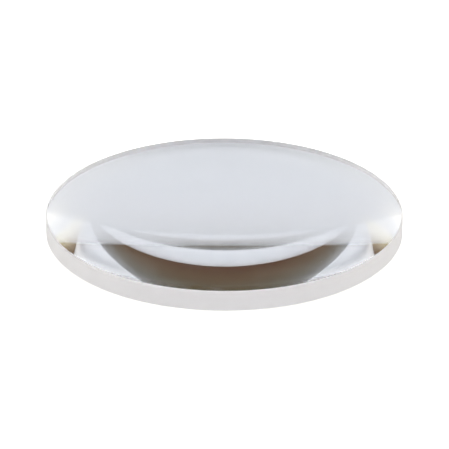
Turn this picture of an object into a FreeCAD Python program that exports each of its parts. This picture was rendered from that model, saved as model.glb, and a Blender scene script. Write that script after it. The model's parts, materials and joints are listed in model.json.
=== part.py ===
import FreeCAD, Part
import math
import os

from FreeCAD import Vector

# A biconvex lens, in millimetres: one round piece of clear glass with a spherical
# polished face on each side, a straight ground edge and a small bevel along each rim.
#
# The optical axis is Z. The origin is on that axis, half way up the ground edge.
# The lens lies on its lower face, as it would on a table.
#
# It is shaped as a real lens is. A round blank with a straight edge and bevelled rims
# is turned first, and then a large sphere bounds it on each side: what is left is the
# space that the blank and the two spheres share.

# Driving dimensions
outside_diameter = 50.8       # over the ground edge
edge_thickness = 3.0          # between the rims, where each face would meet the edge with no bevel
upper_face_radius = 185.0     # radius of curvature of the upper polished face
lower_face_radius = 185.0     # radius of curvature of the lower polished face
rim_bevel = 0.15              # leg of the 45 degree bevel that keeps each rim from chipping

# Worked out from them
edge_radius = outside_diameter / 2
polished_radius = edge_radius - rim_bevel
AXIS = Vector(0, 0, 1)
ACROSS = Vector(1, 0, 0)


def centre_depth(face_radius):
    """How far a face's centre of curvature lies below the level of that face's rim."""
    return math.sqrt(face_radius**2 - edge_radius**2)


def face_height(face_radius, distance_from_axis):
    """Height of a polished face over the middle of the lens, at a distance from the axis."""
    over_centre = math.sqrt(face_radius**2 - distance_from_axis**2)
    return edge_thickness / 2 + over_centre - centre_depth(face_radius)


def blank_profile(face_radius, side):
    """One side of the blank's profile, from the top of its straight edge up the bevel to the axis.

    The bevel's slope runs on above the polished face, which cuts it off. side is 1 above, -1 below."""
    edge_top = face_height(face_radius, polished_radius) - rim_bevel
    blank_top = face_height(face_radius, 0) + rim_bevel
    slope_radius = edge_radius - (blank_top - edge_top)
    return [
        Vector(edge_radius, 0, side * edge_top),
        Vector(slope_radius, 0, side * blank_top),
        Vector(0, 0, side * blank_top),
    ]


def turned_blank():
    """The round blank, turned about the optical axis."""
    upper_side = blank_profile(upper_face_radius, 1)
    lower_side = blank_profile(lower_face_radius, -1)
    points = upper_side + lower_side[::-1]
    section = Part.Face(Part.makePolygon(points + points[:1]))
    return section.revolve(Vector(0, 0, 0), AXIS, 360)


def face_sphere(face_radius, side):
    """The full sphere that one polished face is part of.

    Its poles lie level with its centre, and its seam on the side away from the lens,
    so the polished face is one plain patch of it, without a pole or a seam."""
    centre = AXIS * side * (edge_thickness / 2 - centre_depth(face_radius))
    sphere = Part.makeSphere(face_radius, centre, ACROSS)
    if side > 0:
        sphere.rotate(centre, ACROSS, 180)
    return sphere


def make_lens():
    """The lens: what the blank and the two spheres have in common."""
    lens = turned_blank()
    lens = lens.common(face_sphere(upper_face_radius, 1))
    lens = lens.common(face_sphere(lower_face_radius, -1))
    return lens.Solids[0]


lens = make_lens()
centre_thickness = face_height(upper_face_radius, 0) + face_height(lower_face_radius, 0)
print(f"lens: {outside_diameter} mm across, {centre_thickness:.3f} mm thick at its centre")
print(f"lens: valid {lens.isValid()}, {len(lens.Faces)} faces, {lens.Volume / 1000:.4f} cubic centimetres")

os.makedirs("parts", exist_ok=True)
lens.exportStep("parts/lens.step")
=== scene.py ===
# %% [markdown]
# # A biconvex lens on a pale table
#
# The object is one round piece of clear glass, 50.8 mm across. Both faces are polished and
# bulge outwards, the edge is straight and finely ground, and a narrow bevel keeps each rim
# from chipping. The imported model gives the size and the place, and this lesson builds a
# smooth copy of it, gives it its finishes, lights it and frames it.

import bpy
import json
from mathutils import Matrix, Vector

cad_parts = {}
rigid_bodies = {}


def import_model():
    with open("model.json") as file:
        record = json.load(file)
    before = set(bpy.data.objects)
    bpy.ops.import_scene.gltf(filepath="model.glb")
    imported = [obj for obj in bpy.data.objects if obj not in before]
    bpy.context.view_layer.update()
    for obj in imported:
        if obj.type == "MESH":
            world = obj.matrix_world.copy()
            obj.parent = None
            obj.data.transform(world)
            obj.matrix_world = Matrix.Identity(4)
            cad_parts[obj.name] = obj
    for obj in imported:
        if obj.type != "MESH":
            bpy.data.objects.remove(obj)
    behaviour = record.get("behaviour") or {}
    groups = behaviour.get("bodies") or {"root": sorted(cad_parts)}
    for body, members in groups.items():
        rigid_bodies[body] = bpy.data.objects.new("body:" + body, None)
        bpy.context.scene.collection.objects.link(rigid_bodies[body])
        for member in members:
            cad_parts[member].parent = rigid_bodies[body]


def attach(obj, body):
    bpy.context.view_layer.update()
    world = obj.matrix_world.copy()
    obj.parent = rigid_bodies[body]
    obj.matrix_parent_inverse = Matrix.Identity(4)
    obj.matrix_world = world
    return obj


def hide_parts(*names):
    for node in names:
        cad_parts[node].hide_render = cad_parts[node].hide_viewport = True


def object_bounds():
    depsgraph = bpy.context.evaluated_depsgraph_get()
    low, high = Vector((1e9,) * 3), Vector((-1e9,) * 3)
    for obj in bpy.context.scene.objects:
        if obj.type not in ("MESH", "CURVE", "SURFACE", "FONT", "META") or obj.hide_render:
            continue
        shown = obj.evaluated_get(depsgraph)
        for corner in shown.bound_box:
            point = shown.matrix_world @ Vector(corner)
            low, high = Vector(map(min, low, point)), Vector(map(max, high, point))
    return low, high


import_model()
packed_box = [list(corner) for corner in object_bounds()]

import json
import math

import bmesh
import bpy
from mathutils import Quaternion, Vector

print("packed box:", packed_box)

# %% [markdown]
# ## The sizes of the lens
#
# A lens is given by very few numbers: its diameter, the thickness at the edge, the radius of
# curvature of each face and the leg of the bevel. They are repeated here in metres. Both
# faces have the same radius. The height of a face over the middle plane of the lens follows
# from that radius and from how far the centre of the curve lies below the rim.

# %% The sizes of the lens
MM = 0.001
EDGE_RADIUS = 25.4 * MM
EDGE_THICKNESS = 3.0 * MM
FACE_RADIUS = 185.0 * MM
RIM_BEVEL = 0.15 * MM
POLISHED_RADIUS = EDGE_RADIUS - RIM_BEVEL
CURVE_DEPTH = math.sqrt(FACE_RADIUS**2 - EDGE_RADIUS**2)


def face_height(distance_from_axis):
    """Height of the upper polished face over the middle plane of the lens."""
    over_centre = math.sqrt(FACE_RADIUS**2 - distance_from_axis**2)
    return EDGE_THICKNESS / 2 + over_centre - CURVE_DEPTH


CROWN_HEIGHT = face_height(0)
RIM_HEIGHT = face_height(POLISHED_RADIUS)
TABLE_HEIGHT = packed_box[0][2]
print(f"centre thickness {2 * CROWN_HEIGHT / MM:.3f} mm, table at {TABLE_HEIGHT / MM:.3f} mm")

# %% [markdown]
# ## The camera
#
# The lens was photographed from about 25 degrees above the table with a long lens, from
# three quarters of a metre away, so its two rims look almost like parallel ellipses. The
# camera is placed first. It could be turned by three angles, but it is easier to say where
# it looks: at a point a little under the lens, which puts the lens a little above the middle
# of the picture.

# %% Where the camera stands and looks
CAMERA_DISTANCE = 762 * MM
CAMERA_ELEVATION = math.radians(25.47)
AIM_BELOW_RIM = 1.710 * MM
AIM_RIGHT_OF_RIM = 0.027 * MM

rim_centre = Vector((0, 0, EDGE_THICKNESS / 2))
towards_camera = Vector((0, -math.cos(CAMERA_ELEVATION), math.sin(CAMERA_ELEVATION)))
picture_up = Vector((0, math.sin(CAMERA_ELEVATION), math.cos(CAMERA_ELEVATION)))
camera_point = rim_centre + towards_camera * CAMERA_DISTANCE
aim_point = rim_centre - picture_up * AIM_BELOW_RIM + Vector((AIM_RIGHT_OF_RIM, 0, 0))
print("camera at", [round(c, 4) for c in camera_point])

# %% The camera
CAMERA_ROLL = math.radians(0.14)
FOCAL_LENGTH = 429.11
SENSOR_WIDTH = 36.0
VIEW_AXIS = Vector((0, 0, 1))

camera_data = bpy.data.cameras.new("camera")
camera_data.lens = FOCAL_LENGTH
camera_data.sensor_width = SENSOR_WIDTH
camera = bpy.data.objects.new("camera", camera_data)
bpy.context.scene.collection.objects.link(camera)
camera.location = camera_point
look = (aim_point - camera.location).to_track_quat("-Z", "Y")
camera.rotation_mode = "QUATERNION"
camera.rotation_quaternion = look @ Quaternion(VIEW_AXIS, CAMERA_ROLL)
bpy.context.scene.camera = camera
print("camera sees", round(math.degrees(camera_data.angle), 2), "degrees")

# %% [markdown]
# ## The body of the lens
#
# Glass shows every flat facet, because each one bends the light its own way. So the faces
# are made from true arcs in many short steps, and not from a squashed ball. One vertex at
# the crown is spun about the centre of curvature to draw the arc down to the bevel, and the
# bevel and the half edge are extruded from its end.

# %% Draw the outline of the lens
ARC_STEPS = 72
SIDEWAYS = Vector((0, 1, 0))


def draw_outline(mesh):
    """The upper half of the outline, from the crown down to the middle of the ground edge."""
    crown = mesh.verts.new((0, 0, CROWN_HEIGHT))
    curve_centre = Vector((0, 0, CROWN_HEIGHT - FACE_RADIUS))
    face_angle = math.asin(POLISHED_RADIUS / FACE_RADIUS)
    arc = bmesh.ops.spin(
        mesh, geom=[crown], cent=curve_centre, axis=SIDEWAYS, angle=face_angle, steps=ARC_STEPS)
    tip = [item for item in arc["geom_last"] if isinstance(item, bmesh.types.BMVert)]
    for step in ((RIM_BEVEL, 0, -RIM_BEVEL), (0, 0, RIM_BEVEL - RIM_HEIGHT)):
        grown = bmesh.ops.extrude_vert_indiv(mesh, verts=tip)
        tip = grown["verts"]
        bmesh.ops.translate(mesh, verts=tip, vec=step)


body = bmesh.new()
draw_outline(body)
print("outline:", len(body.verts), "points")

# %% [markdown]
# ## From outline to body
#
# The lower half of the outline is the mirror image of the upper one. Spinning the whole
# outline once round the optical axis, as a turner would, gives the closed body. The points
# that fall together at the two crowns are merged, and the faces are turned to point outwards.

# %% Turn the outline into the body
ROUND_STEPS = 360
MERGE_DISTANCE = 0.0005 * MM
OPTICAL_AXIS = Vector((0, 0, 1))

bmesh.ops.mirror(
    body, geom=body.verts[:] + body.edges[:], axis="Z", merge_dist=MERGE_DISTANCE)
bmesh.ops.spin(
    body, geom=body.verts[:] + body.edges[:], cent=(0, 0, 0), axis=OPTICAL_AXIS,
    angle=math.tau, steps=ROUND_STEPS, use_merge=True)
bmesh.ops.remove_doubles(body, verts=body.verts[:], dist=MERGE_DISTANCE)
bmesh.ops.recalc_face_normals(body, faces=body.faces[:])
open_edges = [edge for edge in body.edges if len(edge.link_faces) != 2]
print("body:", len(body.faces), "faces,", len(open_edges), "open edges,",
      f"{body.calc_volume() / MM**3:.1f} cubic millimetres")

# %% [markdown]
# ## Which face gets which finish
#
# Three finishes meet on one piece of glass: the two polished faces, the ground edge and the
# two bevels. They could be picked by hand, but sorting each face of the mesh by the way it
# points is surer: nearly straight up or down means polished, level means the edge, and the
# faces in between are the bevels. All are smooth shaded, so the light bends as on the true
# curve, while the corners between two finishes stay crisp.

# %% Sort the faces
POLISHED, GROUND, BEVEL = 0, 1, 2
CORNER_ANGLE = math.radians(20)


def finish_of(face):
    """The finish of a face, by how far its normal rises from level."""
    rise = abs(face.normal.z)
    if rise > math.cos(CORNER_ANGLE):
        return POLISHED
    if rise < math.sin(CORNER_ANGLE):
        return GROUND
    return BEVEL


for face in body.faces:
    face.material_index = finish_of(face)
    face.smooth = True
for edge in body.edges:
    edge.smooth = edge.calc_face_angle() < CORNER_ANGLE
finishes = [face.material_index for face in body.faces]
print("polished, ground, bevel faces:", [finishes.count(i) for i in (POLISHED, GROUND, BEVEL)])

# %% Make the lens
lens_mesh = bpy.data.meshes.new("lens_body")
body.to_mesh(lens_mesh)
body.free()
lens = bpy.data.objects.new("lens_body", lens_mesh)
bpy.context.scene.collection.objects.link(lens)
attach(lens, "root")
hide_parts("lens")
print("lens spans", [round(side / MM, 3) for side in lens.dimensions], "mm")

# %% [markdown]
# ## Tools for finishes
#
# A finish is a small network of nodes. It could be drawn by hand in the shader editor. Here
# three helpers start an empty one, add a node with its values and join two nodes, so that
# each finish below reads as a short list.

# %% Tools for finishes
def new_finish(name):
    """A node material with nothing in it yet."""
    finish = bpy.data.materials.new(name)
    finish.use_nodes = True
    finish.node_tree.nodes.clear()
    return finish


def add_node(tree, kind, settings=None, **sockets):
    """One node, with its settings and the values of its sockets."""
    node = tree.nodes.new(kind)
    for name, value in (settings or {}).items():
        setattr(node, name, value)
    for name, value in sockets.items():
        node.inputs[name.replace("_", " ")].default_value = value
    return node


def join(tree, source, target):
    """A link from one socket to another."""
    tree.links.new(source, target)


# %% [markdown]
# ## Polished glass
#
# The glass is fused silica, which is clear and almost colourless and bends light a little
# less than window glass does. Its index of refraction is 1.457 for orange light. A polished
# face has no grain that the eye can see, so the surface stays mirror smooth, and only its
# tint drifts by a trace over the piece, as in any real melt.

# %% Polished glass
SILICA_INDEX = 1.457
SILICA_TINTS = ((0.975, 0.985, 1.0, 1), (0.985, 0.990, 1.0, 1))
DRIFT_SCALE = 30.0

polished = new_finish("polished_silica")
tree = polished.node_tree
output = add_node(tree, "ShaderNodeOutputMaterial")
glass = add_node(tree, "ShaderNodeBsdfPrincipled", Roughness=0.0, IOR=SILICA_INDEX)
glass.inputs["Transmission Weight"].default_value = 1.0
place = add_node(tree, "ShaderNodeTexCoord")
drift = add_node(tree, "ShaderNodeTexNoise", Scale=DRIFT_SCALE, Detail=1.0)
tint = add_node(tree, "ShaderNodeValToRGB")
for stop, colour in zip(tint.color_ramp.elements, SILICA_TINTS):
    stop.color = colour
join(tree, place.outputs["Object"], drift.inputs["Vector"])
join(tree, drift.outputs["Fac"], tint.inputs["Fac"])
join(tree, tint.outputs["Color"], glass.inputs["Base Color"])
join(tree, glass.outputs["BSDF"], output.inputs["Surface"])
print("polished glass, index", SILICA_INDEX)

# %% [markdown]
# ## The grain of ground glass
#
# The edge is ground with fine grit, which leaves a dense field of tiny pits. Modelled pits
# would be far too many, so a very fine noise stands for them, with thousands of grains to
# the metre. The same noise, times a slower and larger one, also changes the tone a little,
# because grinding never wears an edge quite evenly.

# %% The grain of ground glass
GRIT_SCALE = 9000.0
CLOUD_SCALE = 700.0
GRIT_TONES = ((0.1, (0.92, 0.92, 0.97)), (0.4, (0.95, 0.95, 1.0)))


def grit_noise(tree):
    """Two noises over the piece: the fine grain of the grit and the slower cloud in its tone."""
    place = add_node(tree, "ShaderNodeTexCoord")
    grit = add_node(tree, "ShaderNodeTexNoise", Scale=GRIT_SCALE, Detail=3.0, Roughness=0.6)
    cloud = add_node(tree, "ShaderNodeTexNoise", Scale=CLOUD_SCALE, Detail=2.0)
    join(tree, place.outputs["Object"], grit.inputs["Vector"])
    join(tree, place.outputs["Object"], cloud.inputs["Vector"])
    return grit.outputs["Fac"], cloud.outputs["Fac"]


def grit_tone(tree, grit, cloud, whiteness):
    """The colour of ground glass, from the product of the two noises."""
    blend = add_node(tree, "ShaderNodeMath", {"operation": "MULTIPLY"})
    tone = add_node(tree, "ShaderNodeValToRGB")
    for stop, (position, colour) in zip(tone.color_ramp.elements, GRIT_TONES):
        stop.position = position
        stop.color = (*[whiteness * part for part in colour], 1)
    join(tree, grit, blend.inputs[0])
    join(tree, cloud, blend.inputs[1])
    join(tree, blend.outputs["Value"], tone.inputs["Fac"])
    return tone.outputs["Color"]


# %% [markdown]
# ## Ground edge and bevels
#
# Light scatters in the pits, so ground glass looks white and dull, although it still lets
# some light in. One shader gives the dull surface, half of it clear to light. A second one
# is milky and passes light on in all directions, which makes the edge glow softly from the
# light inside the glass. They are mixed. The bevels are ground too, a little finer and a
# little darker.

# %% Ground edge and bevels
PIT_DEPTH = 0.02 * MM
PIT_STRENGTH = 0.25


def ground_finish(name, whiteness, roughness, through=0.5, milkiness=0.3):
    """Finely ground glass: its tone, how dull it is, and the shares let in and scattered."""
    finish = new_finish(name)
    tree = finish.node_tree
    output = add_node(tree, "ShaderNodeOutputMaterial")
    dull = add_node(tree, "ShaderNodeBsdfPrincipled", Roughness=roughness, IOR=SILICA_INDEX)
    dull.inputs["Transmission Weight"].default_value = through
    grit, cloud = grit_noise(tree)
    tone = grit_tone(tree, grit, cloud, whiteness)
    pits = add_node(tree, "ShaderNodeBump", Strength=PIT_STRENGTH, Distance=PIT_DEPTH)
    milky = add_node(tree, "ShaderNodeBsdfTranslucent")
    surface = add_node(tree, "ShaderNodeMixShader", Fac=milkiness)
    join(tree, tone, dull.inputs["Base Color"])
    join(tree, tone, milky.inputs["Color"])
    join(tree, grit, pits.inputs["Height"])
    join(tree, pits.outputs["Normal"], dull.inputs["Normal"])
    join(tree, dull.outputs["BSDF"], surface.inputs[1])
    join(tree, milky.outputs["BSDF"], surface.inputs[2])
    join(tree, surface.outputs["Shader"], output.inputs["Surface"])
    return finish


ground = ground_finish("ground_edge", whiteness=0.99, roughness=0.9)
bevelled = ground_finish("ground_bevel", whiteness=0.94, roughness=0.8)
for finish in (polished, ground, bevelled):
    lens_mesh.materials.append(finish)
print("finishes:", [m.name for m in lens_mesh.materials])

# %% [markdown]
# ## The table
#
# The lens rests on a wide pale table. A flat disc is enough for it, so wide that its border
# lies far outside the picture.

# %% The table
TABLE_REACH = 2.5
TABLE_CORNERS = 96

table_shape = bmesh.new()
bmesh.ops.create_circle(
    table_shape, cap_ends=True, radius=TABLE_REACH, segments=TABLE_CORNERS)
bmesh.ops.translate(table_shape, verts=table_shape.verts[:], vec=(0, 0, TABLE_HEIGHT))
table_mesh = bpy.data.meshes.new("table")
table_shape.to_mesh(table_mesh)
table_shape.free()
table = bpy.data.objects.new("table", table_mesh)
bpy.context.scene.collection.objects.link(table)
print("table reaches", TABLE_REACH, "m")

# %% [markdown]
# ## The table's finish
#
# The table is matt and nearly white. More light would make it pure white, but it would
# bleach the lens too. So a soft glow is added to what the camera sees, and the lens's shadow
# stays. The glass sees a weaker and slightly blue glow. That gives the clear part of the
# lens its cool grey.

# %% The table's finish
TABLE_WHITE = (0.90, 0.90, 0.90, 1)
GLOW_IN_GLASS = (0.20, 0.235, 0.30, 1)
GLOW_TO_CAMERA = (0.45, 0.45, 0.45, 1)


def larger(tree, first, second):
    """The larger of two sockets."""
    most = add_node(tree, "ShaderNodeMath", {"operation": "MAXIMUM"})
    join(tree, first, most.inputs[0])
    join(tree, second, most.inputs[1])
    return most.outputs["Value"]


white_table = new_finish("white_table")
tree = white_table.node_tree
output = add_node(tree, "ShaderNodeOutputMaterial")
matt = add_node(tree, "ShaderNodeBsdfDiffuse", Color=TABLE_WHITE)
glow_colour = add_node(tree, "ShaderNodeMixRGB", Color1=GLOW_IN_GLASS, Color2=GLOW_TO_CAMERA)
glow = add_node(tree, "ShaderNodeEmission")
both = add_node(tree, "ShaderNodeAddShader")
path = add_node(tree, "ShaderNodeLightPath")
seen_in_glass = larger(tree, path.outputs["Is Glossy Ray"], path.outputs["Is Transmission Ray"])
seen = larger(tree, seen_in_glass, path.outputs["Is Camera Ray"])
join(tree, path.outputs["Is Camera Ray"], glow_colour.inputs["Fac"])
join(tree, glow_colour.outputs["Color"], glow.inputs["Color"])
join(tree, seen, glow.inputs["Strength"])
join(tree, matt.outputs["BSDF"], both.inputs[0])
join(tree, glow.outputs["Emission"], both.inputs[1])
join(tree, both.outputs["Shader"], output.inputs["Surface"])
table_mesh.materials.append(white_table)
print("table glow:", GLOW_IN_GLASS[:3], "in glass,", GLOW_TO_CAMERA[:3], "to the camera")

# %% [markdown]
# ## What the room looks like
#
# Clear glass has no look of its own: it shows the room. So the room is described by what the
# glass sees round about, as the brightness at some heights over the table, in degrees, from
# level up to the ceiling.
#
# - Behind the table hangs a dark, slightly brown curtain. Its light bounces inside the lens
#   and comes out at the near side as a dark crescent.
# - A low warm light at each side makes the cream ends of the lens.
# - A big soft box stands a little in front of each side. It brightens the ends of the
#   ground edge.
# - High behind the camera a pale screen gives the main light, which leaves the lens's
#   shadow behind it.

# %% The dark back and the low light at the sides
CEILING = (0.50, 0.50, 0.50)
BACK_PART = (
    (0, (0.02, 0.02, 0.01)),
    (14, (0.06, 0.04, 0.0)),
    (24, (0.09, 0.04, 0.0)),
    (33, (0.07, 0.02, 0.0)),
    (41, (0.0, 0.0, 0.0)),
    (52, (0.0, 0.0, 0.0)),
    (68, (0.10, 0.10, 0.10)),
    (90, CEILING),
)
SIDE_PART = (
    (0, (2.60, 2.50, 2.00)),
    (12, (2.40, 2.15, 1.35)),
    (24, (0.85, 0.70, 0.48)),
    (33, (0.10, 0.08, 0.05)),
    (52, (0.0, 0.0, 0.0)),
    (68, (0.10, 0.10, 0.10)),
    (90, CEILING),
)
print("heights described:", len(BACK_PART), "at the back,", len(SIDE_PART), "at the sides")

# %% The soft boxes and the high screen
BOX_PART = (
    (0, (2.60, 2.45, 2.05)),
    (10, (4.40, 4.10, 3.30)),
    (25, (3.75, 3.55, 2.95)),
    (40, (3.10, 3.07, 3.03)),
    (55, (2.40, 2.40, 2.40)),
    (90, CEILING),
)
SCREEN = (3.00, 3.00, 3.00)
FRONT_PART = (
    (0, (0.30, 0.30, 0.30)),
    (24, (0.40, 0.40, 0.42)),
    (33, (0.70, 0.70, 0.74)),
    (41, (1.80, 1.80, 1.80)),
    (52, SCREEN),
    (68, SCREEN),
    (90, CEILING),
)
print("heights described:", len(BOX_PART), "in the boxes,", len(FRONT_PART), "in front")

# %% [markdown]
# ## The room as a painted sky
#
# Area lamps would show in the glass as hard bright rectangles. Painted on the sky as colour
# ramps over the height, each light has a soft border and shows as a soft patch from any
# side. The ramps are blended by how far a direction has turned from the back of the table,
# alike to the left and to the right.

# %% Ramps and blends
STRAIGHT_UP = 90


def height_ramp(tree, height, part):
    """The colours of one part of the room over its height, where 0 is level and 1 straight up."""
    bands = add_node(tree, "ShaderNodeValToRGB")
    stops = bands.color_ramp.elements
    for degrees, colour in part[1:-1]:
        stops.new(degrees / STRAIGHT_UP)
    for stop, (degrees, colour) in zip(stops, part):
        stop.position = degrees / STRAIGHT_UP
        stop.color = (*colour, 1)
    join(tree, height, bands.inputs["Fac"])
    return bands.outputs["Color"]


def share(tree, angle, start, end):
    """How far an angle has come from start to end, from 0 to 1. Both are in degrees."""
    reached = add_node(tree, "ShaderNodeMapRange")
    reached.inputs["From Min"].default_value = math.radians(start)
    reached.inputs["From Max"].default_value = math.radians(end)
    join(tree, angle, reached.inputs["Value"])
    return reached.outputs["Result"]


# %% The height and the turn of a direction
world = bpy.data.worlds.new("room")
bpy.context.scene.world = world
world.use_nodes = True
tree = world.node_tree
tree.nodes.clear()
place = add_node(tree, "ShaderNodeTexCoord")
axes = add_node(tree, "ShaderNodeSeparateXYZ")
rise = add_node(tree, "ShaderNodeMath", {"operation": "ARCSINE"})
compass = add_node(tree, "ShaderNodeMath", {"operation": "ARCTAN2"})
turn = add_node(tree, "ShaderNodeMath", {"operation": "ABSOLUTE"})
join(tree, place.outputs["Generated"], axes.inputs["Vector"])
join(tree, axes.outputs["Z"], rise.inputs[0])
join(tree, axes.outputs["X"], compass.inputs[0])
join(tree, axes.outputs["Y"], compass.inputs[1])
join(tree, compass.outputs["Value"], turn.inputs[0])
height = share(tree, rise.outputs["Value"], 0, STRAIGHT_UP)
print("directions in the sky measured by", len(tree.nodes), "nodes")

# %% Blend the parts of the room
PARTS = (
    (60, BACK_PART),
    (90, SIDE_PART),
    (103, BOX_PART),
    (123, BOX_PART),
    (145, FRONT_PART),
)

walls = height_ramp(tree, height, BACK_PART)
for (start, part), (end, next_part) in zip(PARTS, PARTS[1:]):
    blend = add_node(tree, "ShaderNodeMixRGB")
    join(tree, share(tree, turn.outputs["Value"], start, end), blend.inputs["Fac"])
    join(tree, walls, blend.inputs["Color1"])
    join(tree, height_ramp(tree, height, next_part), blend.inputs["Color2"])
    walls = blend.outputs["Color"]
print("parts of the room at", [angle for angle, part in PARTS], "degrees from the back")

# %% [markdown]
# ## White behind the table
#
# Where the camera looks past the table, the background is plain white. The room itself
# would be dark there. So the sky has two faces: white for what the camera sees directly,
# and the painted room for all that lights the lens or shows in it.

# %% Room and backdrop
WHITE = (1, 1, 1, 1)

output = add_node(tree, "ShaderNodeOutputWorld")
path = add_node(tree, "ShaderNodeLightPath")
room = add_node(tree, "ShaderNodeBackground", Strength=1.0)
backdrop = add_node(tree, "ShaderNodeBackground", Color=WHITE, Strength=1.0)
choose = add_node(tree, "ShaderNodeMixShader")
join(tree, walls, room.inputs["Color"])
join(tree, path.outputs["Is Camera Ray"], choose.inputs["Fac"])
join(tree, room.outputs["Background"], choose.inputs[1])
join(tree, backdrop.outputs["Background"], choose.inputs[2])
join(tree, choose.outputs["Shader"], output.inputs["Surface"])
print("the sky has", len(tree.nodes), "nodes")

# %% [markdown]
# ## Light paths
#
# Inside a lens the light bounces many times before it leaves, and each bounce counts as a
# reflection. The limits are raised so that none of those paths is cut short, which would
# show as black. The Standard view writes each colour to the picture as it is.

# %% Light paths
BOUNCES = 32

cycles = bpy.context.scene.cycles
cycles.max_bounces = BOUNCES
cycles.glossy_bounces = BOUNCES
cycles.transmission_bounces = BOUNCES
bpy.context.scene.view_settings.view_transform = "Standard"
print("bounces allowed:", cycles.max_bounces)
